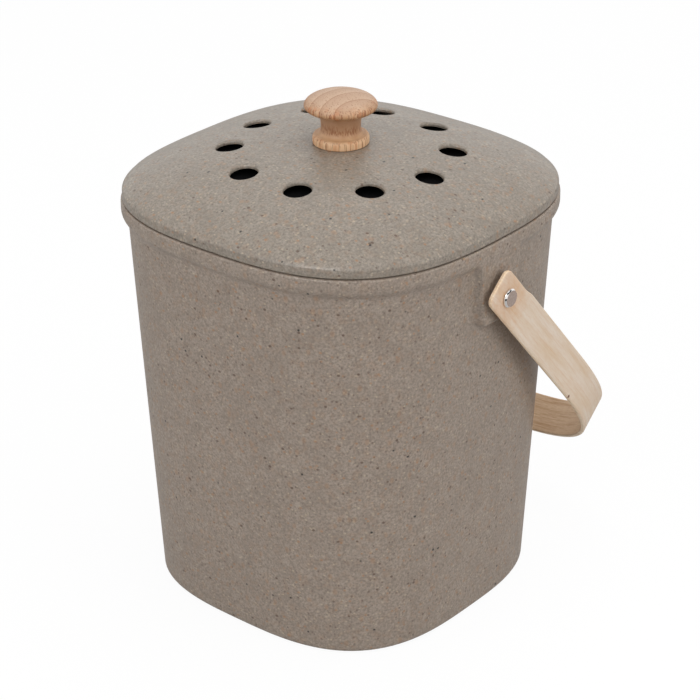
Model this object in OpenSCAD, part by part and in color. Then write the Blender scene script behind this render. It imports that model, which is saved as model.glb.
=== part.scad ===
// Countertop compost caddy: rounded-square bucket, lift-off vented lid with a
// turned knob, charcoal filter under a twist-lock cover, and a bentwood bail.
// Origin at the middle of the base, +Z up, bail pivots on the X axis direction.
// All sizes in millimetres, all angles in degrees.

/* [Bucket] */
// Width of the rim band, flat to flat
rim_width = 185.5; // [150:0.5:220]
// Width of the base, flat to flat
base_width = 159.5; // [130:0.5:170]
// Height of the bucket from table to rim
bucket_height = 198.6; // [150:0.1:260]
// Thickness of the bucket wall
bucket_wall = 3.2; // [2:0.1:4]
// Thickness of the bucket floor
floor_thickness = 4; // [3:0.1:8]
// Rounding where wall and base meet outside
base_edge = 3; // [1:0.5:6]
// How far the rim band stands out from the wall
band_overhang = 3; // [2:0.1:5]
// Height of the whole rim band
band_height = 12.1; // [11:0.1:18]
// Height of the upright part of the rim band
band_flat = 4.6; // [4:0.1:8]
// Rounding of the rim's two top edges
rim_round = 1; // [0.4:0.1:1.4]
// Squareness of the rim: 2 is a circle, more is squarer
rim_squareness = 2.8; // [2.4:0.1:3.6]
// Squareness of the base
base_squareness = 3; // [2.4:0.1:3.6]
// Depth of the ring-shaped recess under the base
recess_depth = 1.2; // [0.5:0.1:2]
// Diameter of the recess under the base
recess_diameter = 122; // [80:1:125]
// Diameter of the standing disc in the middle of the base
base_disc = 24; // [12:1:40]

/* [Lid] */
// How far the lid edge stands back from the rim band
lid_setback = 0.7; // [0:0.1:2]
// Height of the lid's upright edge
lid_edge = 5.1; // [3:0.1:8]
// Height of the dome above the upright edge
lid_rise = 18.4; // [14:0.1:28]
// Thickness of the dome
lid_wall = 1.8; // [1.6:0.1:3]
// Squareness of the dome near its crown
crown_squareness = 2.7; // [2.4:0.1:3.2]
// Width of the flat seat under the knob
knob_seat = 27; // [26:0.5:34]
// How far the skirt reaches down into the bucket
skirt_depth = 9; // [5:0.5:12]
// Thickness of the skirt
skirt_wall = 2.4; // [1.5:0.1:3]
// Gap between the skirt's lower edge and the bucket wall
skirt_gap = 0.6; // [0.4:0.1:2]

/* [Vents] */
// Number of air holes in the lid
vent_count = 10; // [6:1:12]
// Diameter of an air hole
vent_diameter = 13; // [8:0.1:15]
// Diameter of the circle that the air holes stand on
vent_circle = 103.4; // [90:0.2:108]

/* [Filter] */
// How far the charcoal filter reaches past the air holes
filter_margin = 2.1; // [1:0.1:4]
// Thickness of the charcoal filter
filter_thickness = 7; // [5:0.5:8]
// Thickness of the ring wall that holds the filter
holder_wall = 2.2; // [1.6:0.1:3]
// Thickness of the filter cover
cover_thickness = 2.4; // [1.8:0.1:3]
// Reach of the cover's three locking lugs
lug_reach = 2.4; // [2:0.1:3]
// Angle that one locking lug spans
lug_angle = 30; // [20:1:34]
// Angle that one ledge in the holder spans
ledge_angle = 40; // [36:1:50]
// Thickness of a ledge in the holder
ledge_thickness = 1.5; // [1:0.1:2]
// Diameter of the holes in the cover
cover_hole = 12; // [8:0.5:13]
// Width of the cover's plain rim outside its holes
cover_margin = 7.5; // [3:0.5:10]
// Number of holes in the outer circle
cover_holes = 12; // [8:1:15]
// Width of the finger bar across the cover
bar_width = 4; // [3:0.5:6]
// Length of the finger bar
bar_length = 46; // [30:1:60]
// Height of the finger bar
bar_height = 8; // [5:0.5:9]

/* [Knob] */
// Diameter of the knob's head
knob_diameter = 34; // [30:0.1:44]
// Height of the knob
knob_height = 24.4; // [21:0.1:30]
// Height of the rounded crown above the head's widest ring
head_crown = 6.3; // [3:0.1:7]
// Depth of the rounded underside below the head's widest ring
head_underside = 4.6; // [2:0.1:5]
// Diameter of the knob's foot
knob_foot = 26.4; // [22:0.1:30]
// Thickness of the knob's foot
foot_thickness = 4.5; // [2:0.1:5]
// Diameter of the knob's neck
knob_neck = 18.4; // [15:0.1:20]
// Height of the narrowest place of the neck
neck_height = 7.5; // [6:0.1:9]
// Diameter of the knob screw's thread
knob_screw_size = 4; // [3:0.5:5]
// Diameter of the threaded insert in the knob
insert_diameter = 7; // [6.5:0.1:9]
// Length of the threaded insert
insert_length = 11; // [8:0.5:13]

/* [Bail] */
// Width of the wooden strip
strap_width = 20; // [16:0.5:23]
// Thickness of the wooden strip
strap_thickness = 2.2; // [1.8:0.1:3]
// Gap between the strip and the rim band on each side
strap_gap = 2.4; // [1.5:0.1:5]
// Clear height between the knob and the grip when the bail stands up
hand_room = 92.8; // [70:0.1:130]
// Squareness of the bail's bow: 2 is a plain arch, more is squarer
bow_squareness = 2.8; // [2.3:0.1:3.6]
// Length of the straight leg above the pivot
strap_leg = 72.5; // [50:0.5:90]
// Length of the strip past the pivot
strap_tip = 11.3; // [10:0.1:16]
// Corner radius of the strip's ends
tip_round = 4; // [2:0.5:6]
// How much narrower the strip's ends are along one edge
end_trim = 0.9; // [0.3:0.1:1.5]
// Distance of the pivot below the rim
pivot_drop = 26.9; // [26:0.1:40]
// Angle of the bail below level when it is put down
rest_angle = 48.4; // [20:0.1:50]

/* [Pivot hardware] */
// Diameter of the post's polished head
post_head = 9; // [8:0.1:14]
// Thickness of the post's polished head
post_head_thickness = 1.6; // [1.2:0.1:2.5]
// Diameter of the post's barrel
post_diameter = 5.2; // [4.4:0.1:6]
// Width of the moulded pad behind each end of the strip, at its lower end
pad_width = 24.6; // [22:0.2:30]
// Width of the same pad where it runs into the rim band
pad_top_width = 31; // [26:0.5:36]
// How far the pad reaches below the pivot
pad_drop = 12.6; // [10:0.1:20]
// Corner radius of the pad's lower corners
pad_round = 3; // [1:0.1:5]
// Diameter of the boss round the pivot inside the bucket
boss_diameter = 17; // [15:0.5:20]
// How far the boss stands out from the inner wall
boss_height = 0.9; // [0.6:0.1:1.2]
// Diameter of the spacer between pad and strip
spacer_diameter = 12; // [9:0.5:14]
// Diameter of the washer inside the bucket
inner_washer_diameter = 12; // [10:0.5:14]
// Thickness of the washer inside the bucket
inner_washer_thickness = 1; // [0.6:0.1:1.5]
// Diameter of the inner screw's head
inner_screw_head = 9; // [8:0.5:11]

/* [Hidden] */

$fn = 64;
loft_sides = 72;

fibre_colour = [0.6, 0.55, 0.5];
wood_colour = [0.82, 0.68, 0.54];
strip_colour = [0.84, 0.74, 0.62];
steel_colour = [0.78, 0.78, 0.8];
brass_colour = [0.8, 0.66, 0.36];
nylon_colour = [0.9, 0.89, 0.85];
charcoal_colour = [0.08, 0.08, 0.08];

fit_gap = 0.3;         // between bodies that move past each other
running_gap = 0.08;    // radial, round the posts
snug_gap = 0.05;       // radial, between fixed round pieces
overlap = 1;           // how far a cutter runs past the face it cuts

// Bucket
band_half = rim_width / 2;
body_half = band_half - band_overhang;
base_half = base_width / 2;
band_z = bucket_height - band_height;
band_drop = band_height - band_flat;
band_radius = (band_drop * band_drop + band_overhang * band_overhang) / (4 * band_overhang);
mouth_half = wall_half(bucket_height) - bucket_wall;
inside_round = 5;

// Lid
lid_half = band_half - lid_setback;
lid_z = bucket_height + fit_gap;
edge_z = lid_z + lid_edge;
crown_z = edge_z + lid_rise;
seat_z = dome_z(knob_seat / 2 / lid_half);
skirt_z = bucket_height - skirt_depth;
skirt_half = wall_half(skirt_z) - bucket_wall - skirt_gap;
skirt_inner = skirt_half - skirt_wall;
lid_round = 0.8;       // top edge of the lid's upright band
seam_round = 0.4;      // lower edge of the same band
skirt_round = 1;       // outer lower edge of the skirt

// Filter and its holder, stacked down from the underside of the dome
filter_radius = (vent_circle + vent_diameter) / 2 + filter_margin;
holder_inner = filter_radius + 0.7;
holder_outer = holder_inner + holder_wall;
holder_top = dome_z(holder_outer / lid_half) - 0.3 * lid_wall;
filter_top = dome_z(holder_inner / lid_half) - lid_wall - 0.6;
filter_z = filter_top - filter_thickness;
cover_top = filter_z - fit_gap;
cover_z = cover_top - cover_thickness;
ledge_top = cover_z - fit_gap;
holder_z = ledge_top - ledge_thickness;
lug_radius = holder_inner - fit_gap;
cover_radius = lug_radius - lug_reach;
ledge_inner = cover_radius + fit_gap;
lug_count = 3;
hole_web = 4;          // least width between two holes of the cover
cover_circle_radius = cover_radius - cover_margin - cover_hole / 2;

// Knob and its fixing
knob_top = seat_z + knob_height;
foot_chamfer = 0.8;    // rounding under the knob's foot
knob_washer_size = 9;
knob_washer_thickness = 0.8;
knob_bore = knob_screw_size / 2 + 0.25;
under_seat = 20;
under_z = seat_z - lid_wall - 0.5;
insert_z = seat_z + 1.5;
screw_head_size = 1.9 * knob_screw_size;
screw_head_thickness = 0.6 * knob_screw_size;
screw_reach = insert_z + insert_length - 2.5;

// Bail
strap_reach = knob_top + hand_room + strap_thickness - (bucket_height - pivot_drop);
strap_inner = band_half + strap_gap;
strap_outer = strap_inner + strap_thickness;
neck_half = strap_width / 2 - end_trim / 2;
pivot_z = bucket_height - pivot_drop;
trim_start = 11;       // where the narrow end begins to widen, from the pivot
trim_slope = 3.5;      // length over which it widens
bow_steps = 40;

// Pivot hardware, stacked along X at the pivot
wall_at_pivot = wall_half(pivot_z);
pad_face = band_half - 0.15;
pad_top = bucket_height - band_flat;
pad_low = pivot_z - pad_drop;
boss_inner = wall_at_pivot - bucket_wall - boss_height;
side_gap = 0.15;       // beside the strip, on both of its faces
spacer_face = strap_inner - side_gap;
head_face = strap_outer + side_gap;
post_radius = post_diameter / 2;
post_end = boss_inner + 0.3;
thread_radius = post_radius - 0.9;
screw_depth = 7;
inner_head_face = boss_inner - inner_washer_thickness;
inner_head_thickness = 2;

// Half width of the bucket's outer wall at height z
function wall_half(z) = base_half + (body_half - base_half) * z / band_z;

// Half width of the rim band's underside, a hollow curve that turns into a round one
function band_half_at(z) =
    let (r = band_radius, up = z - band_z, down = band_z + band_drop - z)
    up < down ? body_half + r - sqrt(r * r - up * up) : band_half - r + sqrt(r * r - down * down);

// Squareness of the bucket at height z
function power_at(z) = base_squareness + (rim_squareness - base_squareness) * z / bucket_height;

// Height of the dome's top where its section is the share s of the lid's width
function dome_z(s) = edge_z + lid_rise * (1 - 0.6 * pow(s, 2) - 0.4 * pow(s, 5.25));

// Squareness of the dome at the share s
function dome_power(s) = crown_squareness + (rim_squareness - crown_squareness) * s * s;

// Points round one rounded square of the given half width and squareness
function rounded_square(half, power) = [
    for (i = [0 : loft_sides - 1])
        let (t = 360 * i / loft_sides,
             r = half / pow(pow(abs(cos(t)), power) + pow(abs(sin(t)), power), 1 / power))
        [r * cos(t), r * sin(t)]
];

// Closed solid through a list of sections, each [half width, height, squareness],
// with the material on the left of the path that the sections follow
module loft(sections) {
    n = loft_sides;
    last = len(sections) - 1;
    points = [
        for (s = sections)
            each [for (p = rounded_square(s[0], s[2])) [p[0], p[1], s[1]]]
    ];
    sides = [
        for (k = [0 : last - 1], i = [0 : n - 1])
            let (j = (i + 1) % n, a = k * n, b = a + n)
            each [[b + i, b + j, a + j], [b + i, a + j, a + i]]
    ];
    first_cap = [for (i = [0 : n - 1]) i];
    last_cap = [for (i = [n - 1 : -1 : 0]) last * n + i];
    polyhedron(points = points, faces = concat(sides, [first_cap, last_cap]), convexity = 8);
}

// Points of an arc in the plane, from angle a to angle b
function arc(centre, radius, a, b, steps) = [
    for (i = [0 : steps]) let (t = a + (b - a) * i / steps) centre + radius * [cos(t), sin(t)]
];

// The same points in the opposite order
function reversed(points) = [for (i = [len(points) - 1 : -1 : 0]) points[i]];

// A cylinder along X from x0 to x1 at the pivot's height
module pivot_rod(radius, x0, x1) {
    translate([x0, 0, pivot_z]) rotate([0, 90, 0]) cylinder(r = radius, h = x1 - x0);
}

// A ring along X from x0 to x1 at the pivot's height
module pivot_ring(outer, inner, x0, x1) {
    difference() {
        pivot_rod(outer, x0, x1);
        pivot_rod(inner, x0 - overlap, x1 + overlap);
    }
}

// ---- Bucket ----

// Rounded base edge, tapered wall, swelling rim band, rounded rim
function bucket_outside() = concat(
    [for (a = [0 : 22.5 : 90])
        let (z = base_edge * (1 - cos(a)))
        [wall_half(z) - base_edge * (1 - sin(a)), z, power_at(z)]],
    [for (k = [1 : 7])
        let (z = base_edge + (band_z - base_edge) * k / 7)
        [wall_half(z), z, power_at(z)]],
    [for (k = [1 : 10])
        let (z = band_z + band_drop * k / 10)
        [band_half_at(z), z, power_at(z)]],
    [for (a = [0 : 30 : 90])
        [band_half - rim_round * (1 - cos(a)),
         bucket_height - rim_round * (1 - sin(a)), rim_squareness]]
);

// Rounded mouth edge, inner wall, rounded foot of the inner wall
function bucket_inside() = concat(
    [for (a = [0 : 30 : 90])
        [mouth_half + rim_round * (1 - sin(a)),
         bucket_height - rim_round * (1 - cos(a)), rim_squareness]],
    [for (k = [6 : -1 : 0])
        let (low = floor_thickness + inside_round,
             z = low + (bucket_height - rim_round - low) * k / 7)
        [wall_half(z) - bucket_wall, z, power_at(z)]],
    [for (a = [22.5 : 22.5 : 90])
        let (z = floor_thickness + inside_round * (1 - sin(a)))
        [wall_half(z) - bucket_wall - inside_round * (1 - cos(a)), z, power_at(z)]]
);

// Upright pad that brings the wall out flush with the rim band at the pivot;
// its sides lean outwards towards the band
module pivot_pad() {
    r = pad_round;
    lean = atan((pad_top_width - pad_width) / 2 / (pad_top - pad_low));
    low = arc([pad_width / 2 - r, pad_low + r], r, -90, -lean, 6);
    back = wall_half(pad_low) - bucket_wall / 2;
    translate([back, 0, 0]) rotate([90, 0, 90])
        linear_extrude(pad_face - back)
            polygon(concat([[pad_top_width / 2, pad_top], [-pad_top_width / 2, pad_top]],
                reversed([for (p = low) [-p[0], p[1]]]), low));
}

module bin_body() {
    color(fibre_colour)
    difference() {
        union() {
            loft(concat(bucket_outside(), bucket_inside()));
            for (side = [0, 1])
                mirror([side, 0, 0]) {
                    pivot_pad();
                    pivot_rod(boss_diameter / 2, boss_inner, wall_at_pivot);
                }
        }
        for (side = [0, 1])
            mirror([side, 0, 0])
                pivot_rod(post_radius + snug_gap, boss_inner - overlap, pad_face + overlap);
        difference() {
            translate([0, 0, -overlap]) cylinder(d = recess_diameter, h = recess_depth + overlap);
            translate([0, 0, -2 * overlap])
                cylinder(d = base_disc, h = recess_depth + 3 * overlap);
        }
    }
}

// ---- Pivot hardware, drawn on the +X side and mirrored for the other ----

module spacer() {
    color(nylon_colour)
        pivot_ring(spacer_diameter / 2, post_radius + snug_gap, pad_face, spacer_face);
}

module handle_post() {
    r = post_head / 2;
    t = post_head_thickness;
    lip = 0.35 * t;
    color(steel_colour)
    difference() {
        union() {
            pivot_rod(post_radius, post_end, head_face + 0.1);
            translate([head_face, 0, pivot_z]) rotate([0, 90, 0])
                rotate_extrude()
                    polygon(concat([[0, 0], [r - 0.2, 0]],
                        arc([r - lip, lip], lip, 0, 20, 2),
                        arc([r - t + lip, lip], t - lip, 30, 90, 6),
                        [[0, t]]));
        }
        pivot_rod(thread_radius + snug_gap, post_end - overlap, boss_inner + screw_depth + 0.5);
    }
}

module post_screw() {
    r = inner_screw_head / 2;
    color(steel_colour)
    difference() {
        union() {
            pivot_rod(thread_radius, inner_head_face - 0.1, boss_inner + screw_depth);
            translate([inner_head_face, 0, pivot_z]) rotate([0, -90, 0])
                rotate_extrude()
                    polygon(concat([[0, 0], [r, 0]],
                        arc([r - 1.2, inner_head_thickness - 1.2], 1.2, 0, 90, 6),
                        [[0, inner_head_thickness]]));
        }
        // Straight driver slot
        translate([inner_head_face - inner_head_thickness - 0.5, -r, pivot_z - 0.6])
            cube([1.4, 2 * r, 1.2]);
    }
}

module inner_washer() {
    color(steel_colour)
        pivot_ring(inner_washer_diameter / 2, thread_radius + 0.2, inner_head_face, boss_inner);
}

// ---- Bail ----

// Point of the strip's outer face: straight leg, then a rounded-square bow
function bow_point(t) = [
    strap_outer * pow(cos(t), 2 / bow_squareness),
    strap_leg + (strap_reach - strap_leg) * pow(sin(t), 2 / bow_squareness)
];

// Outward normal of the bow at the same place
function bow_normal(t) =
    let (p = bow_point(t), m = bow_squareness, b = strap_reach - strap_leg,
         n = [pow(p[0] / strap_outer, m - 1) / strap_outer,
              pow((p[1] - strap_leg) / b, m - 1) / b])
    n / norm(n);

// One face of the strip from end to end, at a depth below its outer face
function bow_face(depth) =
    let (tip = [strap_outer - depth, -strap_tip - overlap],
         right = [for (i = [0 : bow_steps])
             let (t = 90 * i / bow_steps) bow_point(t) - depth * bow_normal(t)],
         left = [for (i = [bow_steps - 1 : -1 : 0]) [-right[i][0], right[i][1]]])
    concat([tip], right, left, [[-tip[0], tip[1]]]);

module bow_outline() {
    polygon(concat(bow_face(0), reversed(bow_face(strap_thickness))));
}

// Side view of the strip: x is across it and y along it from the pivot. Its
// ends are a little narrower than the rest, along the edge that lies uppermost.
module strip_outline() {
    wide_edge = -neck_half - end_trim;
    end = strap_reach + overlap;
    r = tip_round;
    polygon(concat(
        arc([-neck_half + r, -strap_tip + r], r, 180, 270, 8),
        arc([neck_half - r, -strap_tip + r], r, 270, 360, 8),
        [[neck_half, end], [wide_edge, end],
         [wide_edge, trim_start + trim_slope], [-neck_half, trim_start]]
    ));
}

module handle_strap() {
    color(strip_colour)
    translate([0, 0, pivot_z]) rotate([-90 - rest_angle, 0, 0])
    difference() {
        intersection() {
            translate([0, strap_width, 0]) rotate([90, 0, 0])
                linear_extrude(2 * strap_width) bow_outline();
            translate([-strap_outer - overlap, 0, 0]) rotate([90, 0, 90])
                linear_extrude(2 * (strap_outer + overlap)) strip_outline();
        }
        translate([-strap_outer - overlap, 0, 0]) rotate([0, 90, 0])
            cylinder(r = post_radius + running_gap, h = 2 * (strap_outer + overlap));
    }
}

// ---- Lid ----

// Underside of the dome, from the flat place round the knob screw to the skirt
function lid_underside() = [
    for (k = [0 : 9])
        let (s = (under_seat / 2 + (skirt_inner - under_seat / 2) * k / 9) / lid_half)
        [s * lid_half, dome_z(s) - lid_wall, dome_power(s)]
];

// Rounded shoulder of the lid's upright edge, then the dome up to the knob's seat
function lid_top() =
    let (first = 1 - lid_round / lid_half, last = knob_seat / 2 / lid_half)
    concat(
        [for (a = [0 : 30 : 60])
            [lid_half - lid_round * (1 - cos(a)), edge_z - lid_round * (1 - sin(a)),
             rim_squareness]],
        [for (k = [0 : 11])
            let (s = first + (last - first) * k / 11)
            [s * lid_half, dome_z(s), dome_power(s)]]
    );

module lid_shell() {
    loft(concat(
        lid_underside(),
        [[skirt_inner, skirt_z, rim_squareness],
         [skirt_half - skirt_round, skirt_z, rim_squareness],
         [skirt_half, skirt_z + skirt_round, rim_squareness],
         [skirt_half, lid_z, rim_squareness],
         [lid_half - seam_round, lid_z, rim_squareness],
         [lid_half, lid_z + seam_round, rim_squareness]],
        lid_top()
    ));
}

module filter_holder() {
    difference() {
        translate([0, 0, holder_z]) cylinder(r = holder_outer, h = holder_top - holder_z);
        translate([0, 0, holder_z - overlap])
            cylinder(r = holder_inner, h = holder_top - holder_z + 2 * overlap);
    }
    for (k = [0 : lug_count - 1])
        rotate([0, 0, k * 360 / lug_count - ledge_angle / 2])
            rotate_extrude(angle = ledge_angle)
                translate([ledge_inner, holder_z])
                    square([holder_inner - ledge_inner + holder_wall / 2, ledge_thickness]);
}

module lid() {
    color(fibre_colour)
    difference() {
        union() {
            lid_shell();
            filter_holder();
            translate([0, 0, under_z]) cylinder(d = under_seat, h = seat_z - under_z - 1);
        }
        for (k = [0 : vent_count - 1])
            rotate([0, 0, k * 360 / vent_count])
                translate([vent_circle / 2, 0, holder_z])
                    cylinder(d = vent_diameter, h = crown_z - holder_z + overlap);
        translate([0, 0, under_z - overlap])
            cylinder(r = knob_bore, h = seat_z - under_z + 2 * overlap);
    }
}

module charcoal_filter() {
    color(charcoal_colour)
        translate([0, 0, filter_z]) cylinder(r = filter_radius, h = filter_thickness);
}

module filter_cover() {
    color(fibre_colour)
    difference() {
        union() {
            translate([0, 0, cover_z]) cylinder(r = cover_radius, h = cover_thickness);
            for (k = [0 : lug_count - 1])
                rotate([0, 0, k * 360 / lug_count - lug_angle / 2])
                    rotate_extrude(angle = lug_angle)
                        translate([cover_radius - 1, cover_z])
                            square([lug_radius - cover_radius + 1, cover_thickness]);
            translate([-bar_length / 2, -bar_width / 2, cover_z - bar_height])
                cube([bar_length, bar_width, bar_height + cover_thickness / 2]);
        }
        for (k = [0 : cover_holes - 1])
            rotate([0, 0, (k + 0.5) * 360 / cover_holes])
                translate([cover_circle_radius, 0, cover_z - overlap])
                    cylinder(d = cover_hole, h = cover_thickness + 2 * overlap);
        for (side = [-1, 1], k = [-1 : 1])
            translate([k * (cover_hole + hole_web),
                       side * (cover_hole / 2 + bar_width / 2 + hole_web), cover_z - overlap])
                cylinder(d = cover_hole, h = cover_thickness + 2 * overlap);
    }
}

// ---- Knob ----

// Half profile of the turned knob, [radius, height above the lid]: rounded foot,
// cove into the neck, flare out under the head, and a lens-shaped head
function knob_profile() =
    let (foot = knob_foot / 2, neck = knob_neck / 2, head = knob_diameter / 2,
         r = 0.4 * foot_thickness, shoulder = foot - r,
         widest = knob_height - head_crown, flare = 0.66 * head,
         flare_z = widest - head_underside * sqrt(1 - pow(flare / head, 2)))
    concat(
        [[0, 0]],
        arc([foot - foot_chamfer, foot_chamfer], foot_chamfer, -90, 0, 3),
        arc([shoulder, foot_thickness - r], r, 0, 90, 5),
        [for (i = [1 : 6])
            let (t = 90 * i / 6)
            [shoulder - (shoulder - neck) * sin(t),
             foot_thickness + (neck_height - foot_thickness) * (1 - cos(t))]],
        [for (i = [1 : 6])
            let (t = 90 * i / 6)
            [neck + (flare - neck) * (1 - cos(t)),
             neck_height + (flare_z - neck_height) * sin(t)]],
        [for (i = [1 : 6])
            let (t = i / 6, x = flare + (head - flare) * (1 - pow(1 - t, 2)))
            [x, widest - head_underside * sqrt(1 - pow(x / head, 2))]],
        [for (i = [1 : 12])
            let (t = 90 * i / 12)
            [head * cos(t), widest + head_crown * sin(t)]]
    );

module lid_knob() {
    color(wood_colour)
    translate([0, 0, seat_z])
    difference() {
        rotate_extrude() polygon(knob_profile());
        translate([0, 0, insert_z - seat_z])
            cylinder(d = insert_diameter, h = insert_length + 1);
        translate([0, 0, -overlap])
            cylinder(r = knob_bore, h = insert_z - seat_z + 2 * overlap);
    }
}

module knob_insert() {
    color(brass_colour)
    translate([0, 0, insert_z])
    difference() {
        cylinder(d = insert_diameter - 2 * snug_gap, h = insert_length);
        translate([0, 0, -overlap])
            cylinder(r = knob_screw_size / 2 + snug_gap, h = insert_length + 2 * overlap);
    }
}

module knob_washer() {
    color(steel_colour)
    translate([0, 0, under_z - knob_washer_thickness])
    difference() {
        cylinder(d = knob_washer_size, h = knob_washer_thickness);
        translate([0, 0, -overlap])
            cylinder(r = knob_bore - 0.1, h = knob_washer_thickness + 2 * overlap);
    }
}

module knob_screw() {
    head_z = under_z - knob_washer_thickness;
    r = screw_head_size / 2;
    color(steel_colour)
    difference() {
        union() {
            translate([0, 0, head_z - 0.1])
                cylinder(d = knob_screw_size, h = screw_reach - head_z + 0.1);
            translate([0, 0, head_z]) mirror([0, 0, 1])
                rotate_extrude()
                    polygon(concat([[0, 0], [r, 0]],
                        arc([r - 1, screw_head_thickness - 1], 1, 0, 90, 6),
                        [[0, screw_head_thickness]]));
        }
        // Cross driver recess
        for (turn = [0, 90])
            rotate([0, 0, turn])
                translate([-0.3 * screw_head_size, -0.4, head_z - screw_head_thickness - 0.5])
                    cube([0.6 * screw_head_size, 0.8, 1.7]);
    }
}

bin_body();
spacer();  // spacer_right
mirror([1, 0, 0]) spacer();  // spacer_left
handle_post();  // handle_post_right
mirror([1, 0, 0]) handle_post();  // handle_post_left
post_screw();  // post_screw_right
mirror([1, 0, 0]) post_screw();  // post_screw_left
inner_washer();  // inner_washer_right
mirror([1, 0, 0]) inner_washer();  // inner_washer_left
handle_strap();
lid();
lid_knob();
knob_insert();
knob_screw();
knob_washer();
charcoal_filter();
filter_cover();
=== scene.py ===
import math

import bmesh
import bpy
from mathutils import Matrix, Vector


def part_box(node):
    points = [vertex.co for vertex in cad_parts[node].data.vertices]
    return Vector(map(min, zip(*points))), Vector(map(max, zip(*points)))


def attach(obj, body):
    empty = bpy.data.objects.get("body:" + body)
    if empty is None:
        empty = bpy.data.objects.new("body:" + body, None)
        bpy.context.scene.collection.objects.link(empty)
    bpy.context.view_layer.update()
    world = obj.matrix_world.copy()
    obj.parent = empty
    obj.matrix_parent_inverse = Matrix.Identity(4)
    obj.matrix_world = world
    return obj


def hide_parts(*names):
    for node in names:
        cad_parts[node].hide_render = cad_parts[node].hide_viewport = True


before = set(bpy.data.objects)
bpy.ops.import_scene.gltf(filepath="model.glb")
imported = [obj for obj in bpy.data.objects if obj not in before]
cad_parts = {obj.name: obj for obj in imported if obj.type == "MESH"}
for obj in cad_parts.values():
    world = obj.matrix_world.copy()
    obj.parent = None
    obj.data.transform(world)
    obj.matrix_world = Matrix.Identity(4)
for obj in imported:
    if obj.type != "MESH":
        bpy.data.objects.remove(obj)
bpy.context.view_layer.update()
MM = 0.001

# ---------------------------------------------------------------------------
# Camera. A long lens looks down from three quarters in front, so that the
# front, the side with its pivot and the whole lid share the view.
VIEW_AZIMUTH = math.radians(39.94)
VIEW_ELEVATION = math.radians(27.45)
VIEW_ROLL = math.radians(0.37)
VIEW_DISTANCE = 1124.9 * MM
VIEW_CENTRE = Vector((0, 0, 97.65 * MM))
CENTRE_PIXEL = (342.29, 381.40)
IMAGE_SIZE = 700
FOCAL_PIXELS = 2319.0
SENSOR_WIDTH = 36.0

towards_camera = Vector((
    math.sin(VIEW_AZIMUTH) * math.cos(VIEW_ELEVATION),
    -math.cos(VIEW_AZIMUTH) * math.cos(VIEW_ELEVATION),
    math.sin(VIEW_ELEVATION),
))
aim_right = (-towards_camera).cross(Vector((0, 0, 1))).normalized()
aim_up = towards_camera.cross(aim_right)
aim = Matrix((aim_right, aim_up, towards_camera)).transposed()
# Direction, in the camera's own axes, of the pixel that the centre falls on
centre_ray = Vector((
    (CENTRE_PIXEL[0] - IMAGE_SIZE / 2) / FOCAL_PIXELS,
    -(CENTRE_PIXEL[1] - IMAGE_SIZE / 2) / FOCAL_PIXELS,
    -1.0,
)).normalized()
offset = centre_ray.rotation_difference(Vector((0, 0, -1))).to_matrix()
roll = Matrix.Rotation(-VIEW_ROLL, 3, "Z")

camera_data = bpy.data.cameras.new("camera")
camera_data.sensor_width = SENSOR_WIDTH
camera_data.lens = SENSOR_WIDTH * FOCAL_PIXELS / IMAGE_SIZE
camera_data.clip_end = 20
camera = bpy.data.objects.new("camera", camera_data)
camera.matrix_world = (
    Matrix.Translation(VIEW_CENTRE + VIEW_DISTANCE * towards_camera)
    @ (aim @ offset @ roll).to_4x4()
)
bpy.context.collection.objects.link(camera)
bpy.context.scene.camera = camera

# ---------------------------------------------------------------------------
# Bucket. One moulding in plant fibre and resin, a rounded square that widens
# upwards to a swelling rim band, with a pad on each side behind the strip.
RIM_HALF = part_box("bin_body")[1][0]
RIM_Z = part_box("bin_body")[1][2]
SAME_PLACE = 0.002 * MM
BODY_SEGMENTS = 144
WALL_ROWS = 44
BAND_ROWS = 14
INSIDE_ROWS = 20
ROUND_STEPS = 8
RIM_STEPS = 5
BAND_OVERHANG = 3.0 * MM
BAND_HEIGHT = 12.1 * MM
BAND_FLAT = 4.6 * MM
RIM_ROUND = 0.9 * MM
BASE_HALF = 79.75 * MM
BASE_EDGE = 3.0 * MM
BASE_POWER = 3.0
RIM_POWER = 2.8
WALL = 3.2 * MM
FLOOR = 4.0 * MM
INSIDE_ROUND = 5.0 * MM
RECESS_RADIUS = 61.0 * MM
RECESS_DEPTH = 1.2 * MM
DISC_RADIUS = 12.0 * MM
PIVOT_Z = 171.7 * MM
PAD_HALF = 12.3 * MM
PAD_TOP_HALF = 15.5 * MM
PAD_LOW = PIVOT_Z - 12.6 * MM
PAD_TOP = RIM_Z - BAND_FLAT
PAD_FACE = RIM_HALF - 0.15 * MM
PAD_ROUND = 3.0 * MM
PAD_SOFTNESS = 0.9 * MM
PAD_CUTS = 6
PAD_AREA_HALF = 20.0 * MM
PAD_AREA_LOW = PAD_LOW - 6.0 * MM
PAD_AREA_TOP = RIM_Z - RIM_ROUND - 1.5 * MM
OUTSIDE_DEPTH = 1.5 * MM
BOSS_RADIUS = 8.5 * MM
BOSS_HEIGHT = 0.9 * MM
BOSS_SOFTNESS = 0.6 * MM
BOSS_CUTS = 8
BOSS_AREA_HALF = 16.0 * MM
INSIDE_DEPTH = 2.0 * MM
band_low = RIM_Z - BAND_HEIGHT
band_drop = BAND_HEIGHT - BAND_FLAT
band_radius = (band_drop ** 2 + BAND_OVERHANG ** 2) / (4 * BAND_OVERHANG)


def wall_half(z):
    """Half width of the plain tapered wall at height z."""
    return BASE_HALF + (RIM_HALF - BAND_OVERHANG - BASE_HALF) * z / band_low


def bucket_power(z):
    """How square the bucket is at height z: 2 is round, more is squarer."""
    return BASE_POWER + (RIM_POWER - BASE_POWER) * z / RIM_Z


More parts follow.
